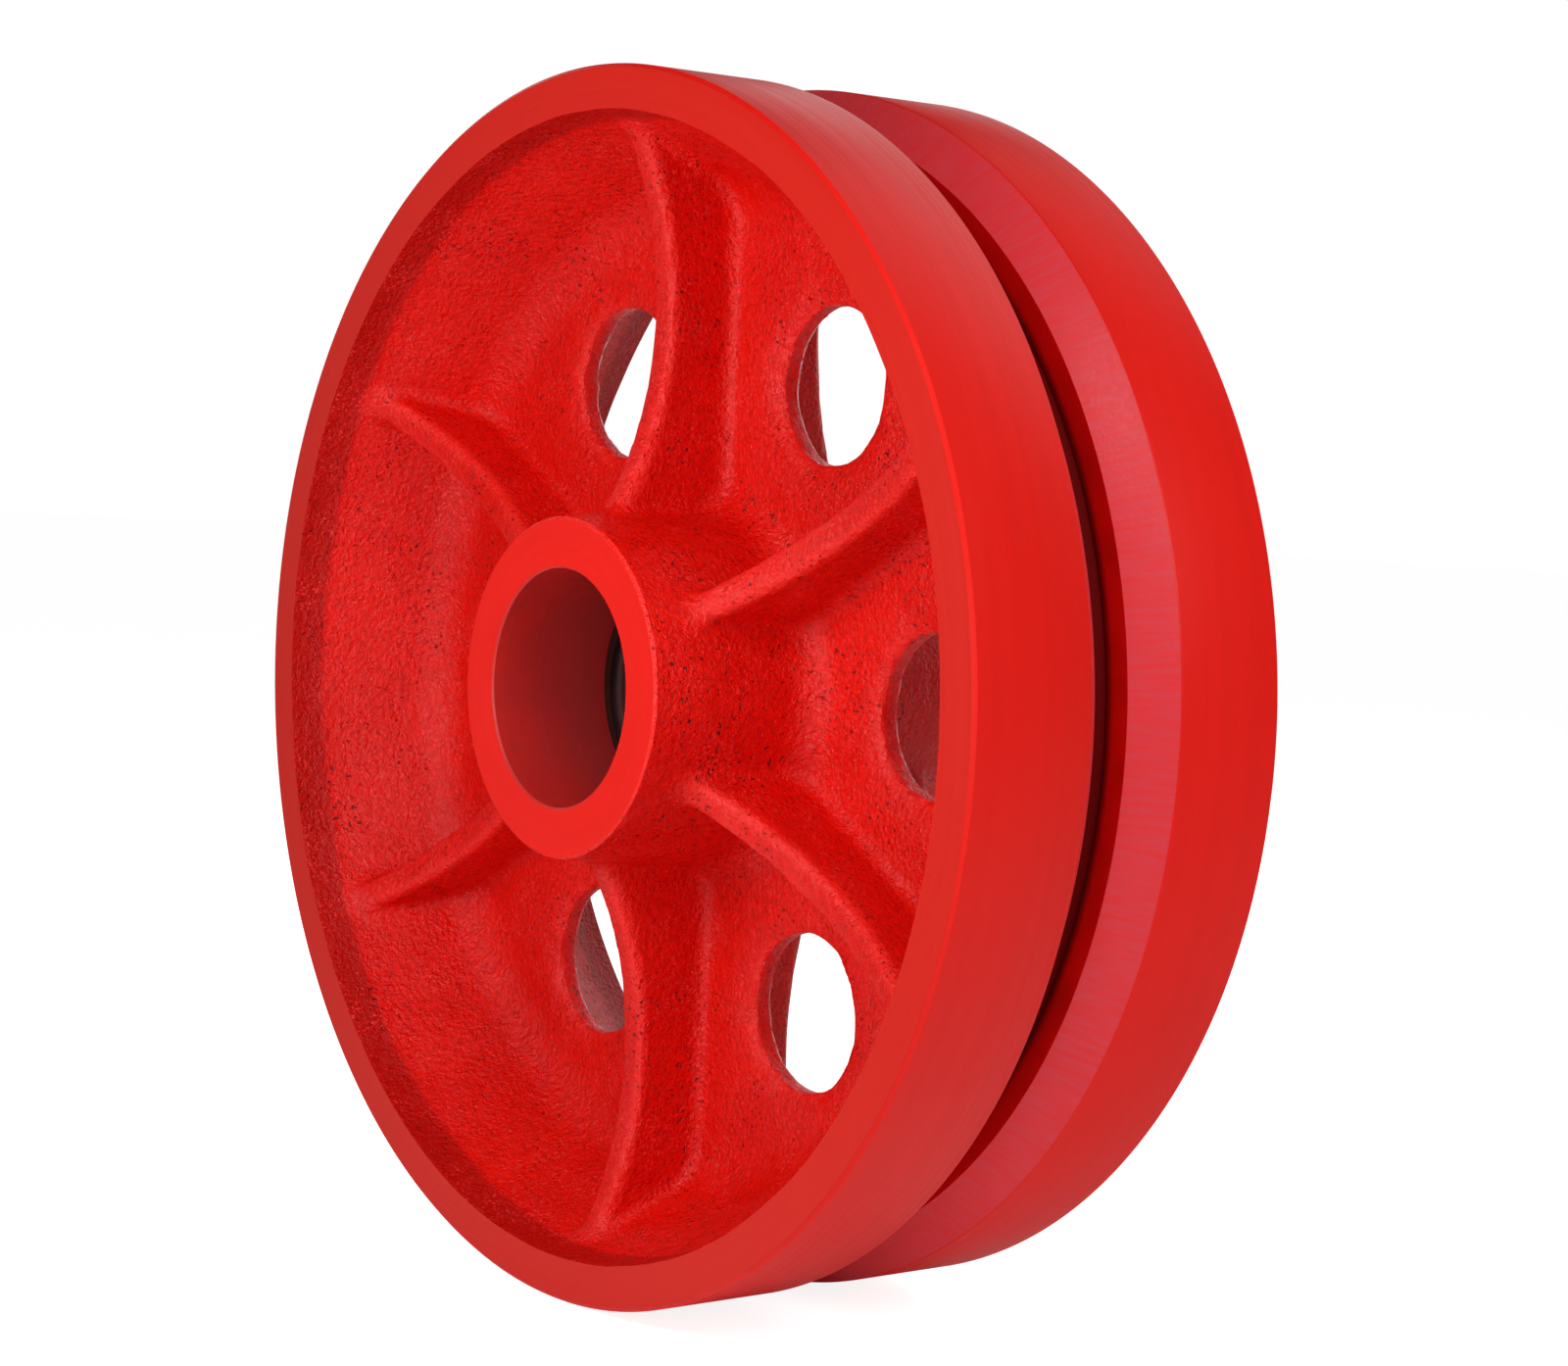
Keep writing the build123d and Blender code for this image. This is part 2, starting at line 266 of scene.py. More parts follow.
def cast_field(x, y, z):
    """Distance from the skin of the rough casting, negative in the iron."""
    radius, height = np.hypot(x, z), np.abs(y)
    lip_height = HALF_FACE - RIM_LIP_DEPTH
    web = height - HALF_WEB
    barrel = side_of_line(
        radius, height, (HUB_FOOT_RADIUS, HALF_WEB), (HUB_TOP_RADIUS, HALF_HUB)
    )
    hub = np.maximum(barrel, height - HALF_HUB - ALLOWANCE)
    wall = -side_of_line(
        radius, height, (RIM_FOOT_RADIUS, HALF_WEB), (RIM_LIP_RADIUS, lip_height)
    )
    lip = -side_of_line(
        radius, height, (RIM_LIP_RADIUS, lip_height), (RIM_LIP_TOP_RADIUS, HALF_FACE)
    )
    rim = np.maximum(join(wall, lip, LIP_FILLET), height - HALF_FACE - ALLOWANCE)

    along, beside = fold(x, z, pi / 2)
    draft = (RIB_FOOT_HALF - RIB_TIP_HALF) / RIB_TIP_HEIGHT
    flank = np.abs(beside) - RIB_FOOT_HALF + draft * height
    low_height = np.where(y < 0, *RIB_LOW_HEIGHTS)
    arc = np.where(y < 0, *RIB_ARCS)
    crest = arc - np.hypot(along - RIB_LOW_RADIUS, height - low_height - arc)
    rib = meet(flank, crest, RIB_EDGE_RADIUS)

    body = join(join(web, hub, HUB_FILLET), rim, RIM_FILLET)
    body = join(body, rib, RIB_FILLET)
    body = np.maximum(body, radius - TREAD_RADIUS - ALLOWANCE)

    along, beside = fold(x, z, 0)
    from_axis = np.hypot(along - HOLE_PITCH_RADIUS, beside)
    hole = HOLE_RADIUS - from_axis
    sink_slope = HOLE_SINK_DEPTH / (HOLE_SINK_RADIUS - HOLE_RADIUS)
    sink_height = HALF_WEB - (HOLE_SINK_RADIUS - from_axis) * sink_slope
    sink = np.minimum(height - sink_height, HOLE_CUTTER_RADIUS - from_axis)
    return meet(meet(body, sink, HOLE_EDGE_RADIUS), hole, HOLE_EDGE_RADIUS)


def surface_net(field, low, high, step):
    """Quads around the zero surface of a field, one point in each cell it crosses."""
    axes = [np.arange(a, b + step, step) for a, b in zip(low, high)]
    values = field(*np.meshgrid(*axes, indexing="ij", sparse=True))
    inside = values < 0
    cells = np.array(values.shape) - 1
    corners = list(product((0, 1), repeat=3))

    def shifted(grid, corner):
        return grid[tuple(slice(c, c + n) for c, n in zip(corner, cells))]

    filled = sum(shifted(inside, corner).astype(int) for corner in corners)
    crossed = np.argwhere((filled > 0) & (filled < 8))
    number = np.full(cells, -1)
    number[tuple(crossed.T)] = np.arange(len(crossed))

    total = np.zeros((len(crossed), 3))
    count = np.zeros(len(crossed))
    for start, end in product(corners, repeat=2):
        if sum(end) - sum(start) != 1 or any(e < s for s, e in zip(start, end)):
            continue
        v0 = values[tuple((crossed + start).T)]
        v1 = values[tuple((crossed + end).T)]
        cut = (v0 < 0) != (v1 < 0)
        share = np.where(cut, v0 / np.where(cut, v0 - v1, 1), 0)[:, None]
        total += cut[:, None] * (np.array(start) + share * (np.array(end) - start))
        count += cut
    points = (crossed + total / count[:, None]) * step + np.array(low)

    quads = []
    for axis in range(3):
        ahead = np.eye(3, dtype=int)[axis]
        u, v = np.eye(3, dtype=int)[(axis + 1) % 3], np.eye(3, dtype=int)[(axis + 2) % 3]
        near = inside[tuple(slice(0, n) for n in cells)]
        far = shifted(inside, ahead)
        at = np.argwhere(near != far)
        at = at[(at @ (u + v) > 0) & (at @ u > 0) & (at @ v > 0)]
        ring = [number[tuple((at - a).T)] for a in (0 * u, u, u + v, v)]
        ring = np.stack(ring, axis=1)
        leaving = near[tuple(at.T)]
        quads.append(np.where(leaving[:, None], ring, ring[:, ::-1]))
    return points, np.concatenate(quads)


def gradient(field, points):
    """The unit direction in which a field grows fastest at each point."""
    slope = np.empty_like(points)
    for axis in range(3):
        ahead, behind = points.copy(), points.copy()
        ahead[:, axis] += GRADIENT_REACH
        behind[:, axis] -= GRADIENT_REACH
        slope[:, axis] = field(*ahead.T) - field(*behind.T)
    steepness = np.linalg.norm(slope, axis=1)
    return slope / np.maximum(steepness, SMALLEST_SLOPE)[:, None]


def mesh_object(name, points, faces):
    """A mesh object from points in millimetres."""
    mesh = bpy.data.meshes.new(name)
    mesh.from_pydata((points * MM).tolist(), [], faces)
    mesh.update()
    made = bpy.data.objects.new(name, mesh)
    bpy.context.scene.collection.objects.link(made)
    return made


# ----------------------------------------------------------------------- casting


def sand_texture(points):
    """How far each point of the skin stands out: swells, lumps and grain of the sand."""
    noise = smooth_noise(NOISE_SEED)
    out = SWELL * noise(points, SWELL_LENGTH)
    out += LUMPS * noise(points + LUMP_SHIFT, LUMP_LENGTH)
    out += GRAIN * noise(points + GRAIN_SHIFT, GRAIN_LENGTH)
    along, beside = fold(points[:, 0], points[:, 2], 0)
    from_axis = np.hypot(along - HOLE_PITCH_RADIUS, beside)
    from_lip = from_axis - (HOLE_RADIUS + HOLE_SINK_RADIUS) / 2
    lip = np.exp(-((from_lip / LIP_SPREAD) ** 2))
    return out + LIP_ROUGHNESS * lip * noise(points + LIP_SHIFT, LIP_ROUGH_LENGTH)


def rough_blank():
    """The casting as it leaves the sand, with metal to spare on what is machined."""
    reach = TREAD_RADIUS + ALLOWANCE + 2 * NET_STEP
    deep = HALF_HUB + ALLOWANCE + 2 * NET_STEP
    points, quads = surface_net(
        cast_field, (-reach, -deep, -reach), (reach, deep, reach), NET_STEP
    )
    for _ in range(NET_PULLS):
        direction = gradient(cast_field, points)
        points = points - direction * cast_field(*points.T)[:, None]
    points = points + direction * sand_texture(points)[:, None]
    return mesh_object("wheel_blank", points, quads.tolist())


def machined_half():
    """The machined outline from the bore's mouth to the tread, as (radius, depth) points."""
    drop = HALF_HUB - HALF_FACE
    return [
        (BORE_RADIUS, HALF_HUB - EDGE_BREAK),
        (BORE_RADIUS + EDGE_BREAK, HALF_HUB),
        (HUB_TOP_RADIUS - EDGE_BREAK, HALF_HUB),
        (HUB_TOP_RADIUS - EDGE_BREAK + drop, HALF_FACE),
        (TREAD_RADIUS - CORNER_BREAK, HALF_FACE),
        (TREAD_RADIUS, HALF_FACE - CORNER_BREAK),
    ]


def machined_envelope():
    """A ring with every machined surface of the wheel, turned about the axle."""
    half = machined_half()
    front_edge = GROOVE_OFFSET - GROOVE_WIDTH / 2
    rear_edge = GROOVE_OFFSET + GROOVE_WIDTH / 2
    groove = [
        (TREAD_RADIUS, front_edge - EDGE_BREAK),
        (TREAD_RADIUS - EDGE_BREAK / 2, front_edge),
        (TREAD_RADIUS - FLANK_DEPTH, front_edge + FLANK_DEPTH),
        (TREAD_RADIUS - GROOVE_DEPTH, front_edge + FLANK_DEPTH),
        (TREAD_RADIUS - GROOVE_DEPTH, rear_edge - FLANK_DEPTH),
        (TREAD_RADIUS - FLANK_DEPTH, rear_edge - FLANK_DEPTH),
        (TREAD_RADIUS - EDGE_BREAK / 2, rear_edge),
        (TREAD_RADIUS, rear_edge + EDGE_BREAK),
    ]
    bore = [
        (BORE_RADIUS, RING_GROOVE_FAR),
        (RING_GROOVE_RADIUS, RING_GROOVE_FAR),
        (RING_GROOVE_RADIUS, RING_GROOVE_NEAR),
        (BORE_RADIUS, RING_GROOVE_NEAR),
    ]
    outline = [(r, -y) for r, y in half] + groove + half[::-1] + bore
    outline += [(r, -y) for r, y in bore[::-1]]

    angles = np.arange(TURNED_SEGMENTS) * 2 * pi / TURNED_SEGMENTS
    rings = np.array(outline)
    points = np.stack(
        [
            np.outer(np.cos(angles), rings[:, 0]),
            np.broadcast_to(rings[:, 1], (TURNED_SEGMENTS, len(rings))),
            np.outer(np.sin(angles), rings[:, 0]),
        ],
        axis=-1,
    )
    number = np.arange(points.size // 3).reshape(TURNED_SEGMENTS, len(rings))
    after = np.roll(number, -1, axis=0)
    faces = np.stack(
        [number, np.roll(number, -1, axis=1), np.roll(after, -1, axis=1), after], axis=-1
    )
    faces = faces.reshape(-1, 4).tolist()
    return mesh_object("machined_envelope", points.reshape(-1, 3), faces)


def machined_blank():
    """The rough blank cut to the machined outline: the object and its mesh."""
    piece, envelope = rough_blank(), machined_envelope()
    cut = piece.modifiers.new("machining", "BOOLEAN")
    cut.operation = "INTERSECT"
    cut.solver = "EXACT"
    cut.object = envelope
    graph = bpy.context.evaluated_depsgraph_get()
    mesh = bpy.data.meshes.new_from_object(piece.evaluated_get(graph))
    piece.modifiers.clear()
    bpy.data.objects.remove(envelope)
    piece.data = mesh
    piece.name = mesh.name = "wheel_casting_skin"
    return piece, mesh


def machined_casting():
    """The finished casting, with a material slot for each kind of surface."""
    piece, mesh = machined_blank()
    centres = np.empty(len(mesh.polygons) * 3)
    mesh.polygons.foreach_get("center", centres)
    x, y, z = centres.reshape(-1, 3).T / MM
    radius, height = np.hypot(x, z), np.abs(y)
    on_rim_face = (height > HALF_FACE - FLAT) & (radius > RIM_FOOT_RADIUS)
    on_hub_face = height > HALF_HUB - FLAT
    on_tread = radius > TREAD_RADIUS - CORNER_BREAK - FLAT
    in_groove = np.abs(y - GROOVE_OFFSET) < GROOVE_WIDTH / 2
    in_groove &= radius > TREAD_RADIUS - GROOVE_DEPTH - FLAT
    slots = np.full(len(radius), CAST)
    slots[on_rim_face | on_hub_face | on_tread] = TURNED
    slots[in_groove & (radius < TREAD_RADIUS)] = FLANK
    slots[in_groove & (radius < TREAD_RADIUS - FLANK_DEPTH)] = SUNK
    slots[radius < RING_GROOVE_RADIUS + FLAT] = BORED
    mesh.polygons.foreach_set("material_index", slots)
    mesh.polygons.foreach_set("use_smooth", np.ones(len(slots), dtype=bool))
    mesh.set_sharp_from_angle(angle=radians(SHARP_ANGLE))
    return piece


# --------------------------------------------------------------------- materials


class Finish:
    """A material and short calls that add nodes to it."""

    def __init__(self, name):
        """A new material with its shader and the coordinates of the shaded point."""
        self.material = bpy.data.materials.new(name)
        self.material.use_nodes = True
        self.tree = self.material.node_tree
        self.shader = self.tree.nodes["Principled BSDF"]
        self.place = self.add("ShaderNodeTexCoord").outputs["Object"]

    def add(self, kind, **settings):
        """A new node of this kind with these settings."""
        node = self.tree.nodes.new(kind)
        for key, value in settings.items():
            setattr(node, key, value)
        return node

    def feed(self, socket, value):
        """Set a socket from another socket or to a plain value."""
        if isinstance(value, bpy.types.NodeSocket):
            self.tree.links.new(value, socket)
        else:
            socket.default_value = value

    def surface(self, **inputs):
        """Set the shader's inputs, named with _ for each space."""
        for key, value in inputs.items():
            self.feed(self.shader.inputs[key.replace("_", " ")], value)

    def math(self, operation, *values):
        """The result of a sum on sockets or numbers."""
        node = self.add("ShaderNodeMath", operation=operation)
        for socket, value in zip(node.inputs, values):
            self.feed(socket, value)
        return node.outputs["Value"]

    def noise(self, size, place=None, detail=2.0):
        """Noise from 0 to 1 whose features are about this size: millimetres, or place's units."""
        node = self.add("ShaderNodeTexNoise")
        self.feed(node.inputs["Vector"], place or self.place)
        node.inputs["Scale"].default_value = 1 / size if place else 1 / (size * MM)
        node.inputs["Detail"].default_value = detail
        return node.outputs["Fac"]

    def step(self, value, low, high, start=0.0, end=1.0):
        """A smooth step: start below low, end above high."""
        node = self.add("ShaderNodeMapRange", interpolation_type="SMOOTHSTEP")
        self.feed(node.inputs["Value"], value)
        self.feed(node.inputs["From Min"], low)
        self.feed(node.inputs["From Max"], high)
        self.feed(node.inputs["To Min"], start)
        self.feed(node.inputs["To Max"], end)
        return node.outputs["Result"]

    def scaled(self, value, factor):
        """A value times a number."""
        return self.math("MULTIPLY", value, factor)

    def mix(self, share, first, second):
        """A colour between two others."""
        node = self.add("ShaderNodeMix", data_type="RGBA")
        sockets = {socket.identifier: socket for socket in (*node.inputs, *node.outputs)}
        self.feed(sockets["Factor_Float"], share)
        self.feed(sockets["A_Color"], first)
        self.feed(sockets["B_Color"], second)
        return sockets["Result_Color"]

    def bump(self, height, depth, normal=None):
        """A normal tilted by a height from 0 to 1 that stands for this many millimetres."""
        node = self.add("ShaderNodeBump")
        node.inputs["Distance"].default_value = depth * MM
        self.feed(node.inputs["Height"], height)
        if normal:
            self.feed(node.inputs["Normal"], normal)
        return node.outputs["Normal"]

    def axes(self):
        """The three coordinates of the shaded point, in metres."""
        node = self.add("ShaderNodeSeparateXYZ")
        self.feed(node.inputs[0], self.place)
        return node.outputs

    def radius(self):
        """Distance of the shaded point from the axle, in metres."""
        x, _, z = self.axes()
        square = self.math("ADD", self.math("MULTIPLY", x, x), self.math("MULTIPLY", z, z))
        return self.math("SQRT", square)

    def lathe(self, feed, around):
        """Coordinates for cuts this many millimetres apart, fading this often round the axle."""
        x, y, z = self.axes()
        radius = self.radius()
        node = self.add("ShaderNodeCombineXYZ")
        along = self.math("ADD", radius, y)
        self.feed(node.inputs["X"], self.math("DIVIDE", along, feed * MM))
        self.feed(node.inputs["Y"], self.scaled(self.math("DIVIDE", x, radius), around))
        self.feed(node.inputs["Z"], self.scaled(self.math("DIVIDE", z, radius), around))
        return node.outputs["Vector"]

    def cuts(self, feed, around, detail):
        """Noise drawn out into the lines that a lathe tool leaves."""
        return self.noise(1.0, self.lathe(feed, around), detail=detail)


def cast_paint():
    """Glossy red enamel over sand-cast iron: mottling, dark pits, painted highlights on the
    crests, painted shade on the rim's lip and painted pink glints.
    """
    finish = Finish("cast_red_enamel")
    patches = finish.step(finish.noise(size=26), low=0.35, high=0.65)
    mottle = finish.step(finish.noise(size=1.8, detail=3.0), low=0.38, high=0.68)
    colour = finish.mix(patches, CAST_RED, CAST_RED_LIGHT)
    colour = finish.mix(finish.scaled(mottle, 0.45), colour, CAST_RED_DARK)
    # Painted highlight: convex crests and edges, picked out by pointiness, get a brighter, pinker
    # red.
    pointiness = finish.add("ShaderNodeNewGeometry").outputs["Pointiness"]
    colour = finish.mix(finish.step(pointiness, low=0.505, high=0.56), colour, CREST_PAINTED_HIGHLIGHT)
    # Painted shade: the rim's lip is painted darker.
    lip = finish.step(finish.radius(), low=LIP_SHADE_START * MM, high=LIP_SHADE_END * MM)
    colour = finish.mix(finish.scaled(lip, 0.6), colour, LIP_PAINTED_SHADE)

    clusters = finish.step(finish.noise(size=15), low=0.42, high=0.62)
    specks = finish.step(finish.noise(size=0.9, detail=1.0), low=0.64, high=0.74)
    pits = finish.math("MULTIPLY", specks, clusters)
    # Painted highlight: pale pink specks in clusters stand for glints of light on the grain.
    glint_patches = finish.step(finish.noise(size=11), low=0.45, high=0.62)
    glint_specks = finish.step(finish.noise(size=0.7, detail=1.0), low=0.55, high=0.70)
    colour = finish.mix(finish.math("MULTIPLY", glint_specks, glint_patches), colour, PAINTED_GLINT_PINK)
    colour = finish.mix(finish.scaled(pits, 0.9), colour, PIT_BROWN)

    sand = finish.bump(finish.noise(size=0.45, detail=2.0), depth=0.24)
    grain = finish.bump(finish.noise(size=1.1, detail=3.0), depth=0.50, normal=sand)
    lumps = finish.bump(finish.noise(size=2.8, detail=2.0), depth=0.22, normal=grain)
    finish.surface(
        Base_Color=colour,
        Roughness=finish.step(finish.noise(size=5.0), low=0.3, high=0.7, start=0.24, end=0.38),
        Normal=finish.bump(finish.math("SUBTRACT", 1.0, pits), depth=0.3, normal=lumps),
        Specular_IOR_Level=0.32,
    )
    return finish.material


def rim_face_share(finish):
    """1 on the flat faces of the rim, 0 on the lands and on the ends of the hub."""
    height = finish.math("ABSOLUTE", finish.axes()[1])
    past_lands = finish.step(height, *(MM * h for h in RIM_FACE_START))
    before_hub = finish.step(height, *(MM * h for h in RIM_FACE_END), start=1, end=0)
    return finish.math("MULTIPLY", past_lands, before_hub)


def turned_paint():
    """Satin red enamel over a lathe-turned face, with the tool's fine lines."""
    finish = Finish("turned_red_enamel")
    lines = finish.cuts(feed=0.45, around=1.2, detail=1.0)
    bands = finish.cuts(feed=3.5, around=0.8, detail=2.0)
    cloud = finish.step(finish.noise(size=30), low=0.3, high=0.7)
    deep = finish.step(bands, low=0.3, high=0.7, end=0.35)
    colour = finish.mix(deep, TURNED_RED, TURNED_RED_DEEP)
    colour = finish.mix(finish.scaled(cloud, 0.3), colour, TURNED_RED_LIGHT)
    # Rim faces: a browner tint with painted shade, darker than the ends of the hub.
    colour = finish.mix(rim_face_share(finish), colour, RIM_FACE_BROWN_AND_SHADE)
    specks = finish.noise(size=0.8, detail=2.0)
    cut = finish.bump(lines, depth=0.02)
    finish.surface(
        Base_Color=colour,
        Roughness=finish.step(lines, low=0.3, high=0.7, start=0.36, end=0.46),
        Normal=finish.bump(specks, depth=0.02, normal=cut),
        Specular_IOR_Level=0.2,
    )
    return finish.material


def bore_paint():
    """A thin dusting of red over the bored iron, with the boring tool's fine rings."""
    finish = Finish("bored_iron_dusted_red")
    rings = finish.cuts(feed=0.35, around=0.6, detail=1.0)
    cloud = finish.step(finish.noise(size=9.0, detail=3.0), low=0.35, high=0.65)
    height = finish.math("ABSOLUTE", finish.axes()[1])
    # Browner deeper into the bore, fading out towards its mouths.
    deep = finish.step(height, low=BORE_BROWN_UP_TO * MM, high=HALF_HUB * MM, start=1, end=0)
    bare = finish.step(rings, low=0.45, high=0.75, end=0.35)
    colour = finish.mix(finish.scaled(cloud, 0.3), BORE_RED, BORE_BROWN)
    colour = finish.mix(finish.scaled(deep, 0.8), colour, BORE_BROWN)
    colour = finish.mix(bare, colour, BORE_BROWN)
    finish.surface(
        Base_Color=colour,
        Roughness=finish.step(rings, low=0.3, high=0.7, start=0.34, end=0.5),
        Normal=finish.bump(rings, depth=0.012),
        Specular_IOR_Level=0.35,
    )
    return finish.material


def slot_paint():
    """Deep red in the groove's slot, with painted shade darkening its floor."""
    finish = Finish("slot_red_enamel")
    lines = finish.cuts(feed=0.6, around=1.2, detail=1.0)
    cloud = finish.step(finish.noise(size=12.0, detail=3.0), low=0.3, high=0.7)
    bottom = TREAD_RADIUS - GROOVE_DEPTH
    shade_radius, red_radius = bottom + SLOT_SHADE_UP_TO, bottom + SLOT_RED_FROM
    above_floor = finish.step(finish.radius(), low=shade_radius * MM, high=red_radius * MM)
    # Painted shade: the slot's floor and the lowest part of its walls are painted nearly black.
    colour = finish.mix(above_floor, SLOT_PAINTED_SHADE, SLOT_RED)
    # Painted shade also in soft random patches over the slot.
    colour = finish.mix(finish.scaled(cloud, 0.25), colour, SLOT_PAINTED_SHADE)
    finish.surface(
        Base_Color=colour,
        Roughness=0.6,
        Normal=finish.bump(lines, depth=0.02),
        Specular_IOR_Level=0.1,
    )
    return finish.material


def flank_paint():
    """The groove's flanks: a coarser cut with faint chatter marks across it, and a painted pink
    sheen in the base colour.
    """
    finish = Finish("flank_red_enamel")
    x, y, z = finish.axes()
    strokes = finish.add("ShaderNodeCombineXYZ")
    angle = finish.math("ARCTAN2", z, x)
    finish.feed(strokes.inputs["X"], finish.scaled(angle, CHATTER_ROUND))
    finish.feed(strokes.inputs["Y"], finish.scaled(y, CHATTER_ACROSS))
    chatter = finish.noise(1.0, strokes.outputs["Vector"], detail=3.0)
    grain = finish.noise(size=0.9, detail=3.0)
    marks = finish.step(chatter, low=0.3, high=0.7, end=0.5)
    finish.surface(
        # Painted sheen: the flank's base colour is pinkened to copy a highlight.
        Base_Color=finish.mix(marks, FLANK_RED_PAINTED_SHEEN, TURNED_RED_LIGHT),
        Roughness=finish.step(grain, low=0.3, high=0.7, start=0.34, end=0.5),
        Normal=finish.bump(grain, depth=0.05, normal=finish.bump(chatter, depth=0.012)),
        Specular_IOR_Level=0.3,
    )
    return finish.material


def ground_steel(name, colour, roughness, feed, depth):
    """Bare steel with lathe or grinding lines round the axle."""
    finish = Finish(name)
    lines = finish.cuts(feed, around=1.5, detail=2.0)
    stain = finish.step(finish.noise(size=6.0, detail=3.0), low=0.35, high=0.7)
    shade = tuple(STAIN_SHADE * c for c in colour[:3]) + (1.0,)
    smooth, rough = roughness * 0.85, roughness * 1.25
    finish.surface(
        Base_Color=finish.mix(finish.scaled(stain, 0.5), colour, shade),
        Metallic=1.0,
        Roughness=finish.step(lines, low=0.3, high=0.7, start=smooth, end=rough),
        Normal=finish.bump(lines, depth),
    )
    return finish.material


def seal_rubber():
    """Matte brown seal rubber with a moulded sheen and a little dust."""
    finish = Finish("nitrile_rubber")
    dust = finish.step(finish.noise(size=4.0, detail=4.0), low=0.5, high=0.75)
    finish.surface(
        Base_Color=finish.mix(finish.scaled(dust, 0.4), RUBBER_BROWN, RUBBER_DUST),
        Roughness=finish.step(dust, low=0, high=1, start=0.5, end=0.72),
        Normal=finish.bump(finish.noise(size=0.35, detail=2.0), depth=0.015),
    )
    return finish.material


# ------------------------------------------------------------------------ pieces


casting = machined_casting()
for paint in (cast_paint(), turned_paint(), flank_paint(), bore_paint(), slot_paint()):
    casting.data.materials.append(paint)
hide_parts("wheel_casting")
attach(casting, "wheel")

outer_race = ground_steel("ground_outer_race", BEARING_STEEL, 0.24, feed=0.12, depth=0.004)
inner_race = ground_steel("ground_inner_race", BEARING_STEEL, 0.22, feed=0.12, depth=0.004)
balls = ground_steel("lapped_balls", BALL_STEEL, 0.08, feed=0.08, depth=0.001)
cage = ground_steel("pressed_cage", CAGE_STEEL, 0.36, feed=0.9, depth=0.01)
rivets = ground_steel("rivet_steel", RIVET_STEEL, 0.40, feed=0.5, depth=0.01)
seal = seal_rubber()
ring = ground_steel("phosphated_ring", RING_STEEL, 0.55, feed=0.25, depth=0.01)

# Materials of the pieces that keep their own mesh, by the end of the piece's name
carried = {
    "outer_race": outer_race,
    "inner_race": inner_race,
    "balls": balls,
    "cage_outer_half": cage,
    "cage_inner_half": cage,
    "cage_rivets": rivets,
    "outer_seal": seal,
    "inner_seal": seal,
    "retaining_ring": ring,
}
for name, node in frame["nodes"].items():
    for ending, material in carried.items():
        if name.endswith(ending):
            node.data.materials.clear()
            node.data.materials.append(material)


# ------------------------------------------------------------ floor, lights, camera


def stage_material():
    """Plain pale studio floor, which glows to the camera only, so that it looks white."""
    finish = Finish("pale_floor")
    seen = finish.add("ShaderNodeLightPath").outputs["Is Camera Ray"]
    finish.surface(
        Base_Color=finish.mix(finish.noise(size=400, detail=2.0), FLOOR_PALE, FLOOR_PALER),
        Roughness=0.9,
        Emission_Color=(*WHITE, 1),
        Emission_Strength=finish.scaled(seen, FLOOR_GLOW),
    )
    return finish.material


def towards(azimuth, elevation):
    """The unit vector from the wheel to a place at these angles; azimuth 0 is the front."""
    a, e = radians(azimuth), radians(elevation)
    return Vector((sin(a) * cos(e), -cos(a) * cos(e), sin(e)))


def soft_light(name, azimuth, elevation, distance, size, watts, colour=WHITE):
    """A square softbox, unseen by the camera, that looks at the middle of the wheel."""
    light = bpy.data.lights.new(name, "AREA")
    light.size = size
    light.energy = watts
    light.color = colour
    made = bpy.data.objects.new(name, light)
    made.location = towards(azimuth, elevation) * distance
    made.rotation_euler = (-made.location).to_track_quat("-Z", "Y").to_euler()
    made.visible_camera = False
    bpy.context.scene.collection.objects.link(made)


def floor():
    """The floor that the wheel stands on."""
    low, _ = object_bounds()
    half = FLOOR_HALF
    corners = [(-half, -half), (half, -half), (half, half), (-half, half)]
    mesh = bpy.data.meshes.new("floor")
    mesh.from_pydata([(x, y, low.z) for x, y in corners], [], [(0, 1, 2, 3)])
    mesh.materials.append(stage_material())
    made = bpy.data.objects.new("floor", mesh)
    bpy.context.scene.collection.objects.link(made)
    made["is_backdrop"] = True


def camera():
    """The view from the right of the front, rolled a little, with the wheel off centre."""
    back = towards(CAMERA_AZIMUTH, CAMERA_ELEVATION)
    right = Vector((0, 0, 1)).cross(back).normalized()
    up = back.cross(right)
    roll = radians(CAMERA_ROLL)
    rolled_right = right * cos(roll) + up * sin(roll)
    rolled_up = up * cos(roll) - right * sin(roll)
    data = bpy.data.cameras.new("camera")
    data.sensor_width = SENSOR_WIDTH
    data.lens = CAMERA_LENS
    data.clip_start, data.clip_end = CLIP_START, CLIP_END
    made = bpy.data.objects.new("camera", data)
    place = back * CAMERA_DISTANCE + rolled_right * CAMERA_RIGHT + rolled_up * CAMERA_UP
    turn = Matrix((rolled_right, rolled_up, back)).transposed().to_4x4()
    made.matrix_world = Matrix.Translation(place * MM) @ turn
    bpy.context.scene.collection.objects.link(made)
    bpy.context.scene.camera = made


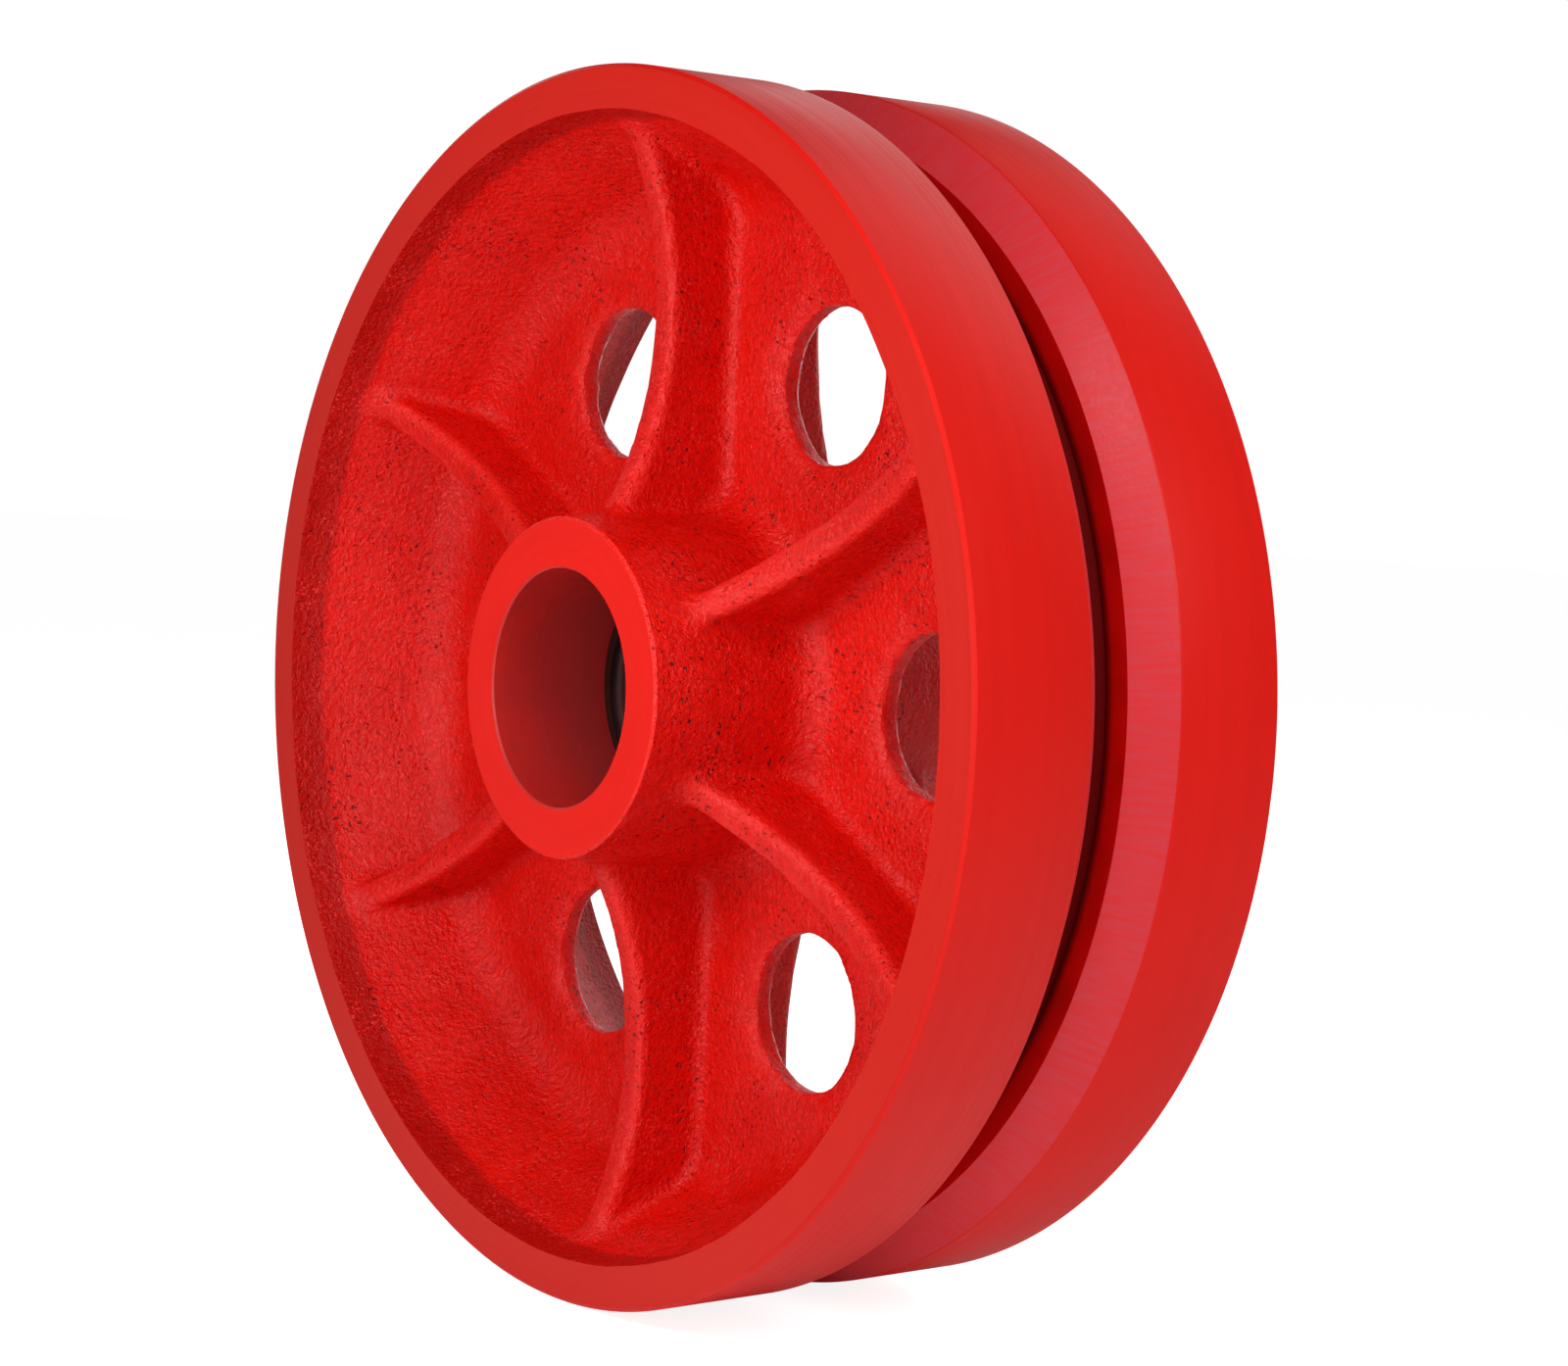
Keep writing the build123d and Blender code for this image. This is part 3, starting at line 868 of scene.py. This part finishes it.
def studio_light(tree):
    """How bright the studio is in each direction, by how much it faces the backdrop."""
    place = tree.nodes.new("ShaderNodeTexCoord")
    facing = tree.nodes.new("ShaderNodeVectorMath")
    facing.operation = "DOT_PRODUCT"
    facing.inputs[1].default_value = towards(BACKDROP_AZIMUTH, BACKDROP_ELEVATION)
    tree.links.new(place.outputs["Generated"], facing.inputs[0])
    share = tree.nodes.new("ShaderNodeMapRange")
    share.inputs["From Min"].default_value = -1.0
    tree.links.new(facing.outputs["Value"], share.inputs["Value"])
    studio = tree.nodes.new("ShaderNodeValToRGB")
    stops = studio.color_ramp.elements
    while len(stops) < len(STUDIO):
        stops.new(0.5)
    for stop, (facing_backdrop, level) in zip(stops, STUDIO):
        stop.position = (facing_backdrop + 1) / 2
        stop.color = (level, level, level, 1)
    tree.links.new(share.outputs["Result"], studio.inputs["Fac"])
    return studio.outputs["Color"]


def world():
    """A plain studio: white to the camera; as light, a pale front and one pale backdrop."""
    made = bpy.data.worlds.new("studio")
    made.use_nodes = True
    tree = made.node_tree
    path = tree.nodes.new("ShaderNodeLightPath")
    level = tree.nodes.new("ShaderNodeMapRange")
    level.inputs["To Max"].default_value = 1.0
    tree.links.new(path.outputs["Is Camera Ray"], level.inputs["Value"])
    tree.links.new(studio_light(tree), level.inputs["To Min"])
    background = tree.nodes["Background"]
    background.inputs["Color"].default_value = (*WHITE, 1)
    tree.links.new(level.outputs["Result"], background.inputs["Strength"])
    bpy.context.scene.world = made


floor()
world()
soft_light("key", 8, 14, distance=0.30, size=0.12, watts=0.42, colour=WARM_WHITE)
soft_light("near_fill", 44, 4, distance=0.38, size=0.15, watts=0.12)
soft_light("side", 88, 24, distance=0.55, size=0.15, watts=0.68, colour=COOL_WHITE)
soft_light("upper", 62, 45, distance=0.50, size=0.15, watts=0.38)
soft_light("top", 186, 52, distance=1.2, size=0.8, watts=1.2)
soft_light("back", 200, 8, distance=1.1, size=1.2, watts=4.8)
soft_light("left", 268, 16, distance=0.8, size=0.6, watts=1.2)
camera()
bpy.context.scene.view_settings.view_transform = "Standard"
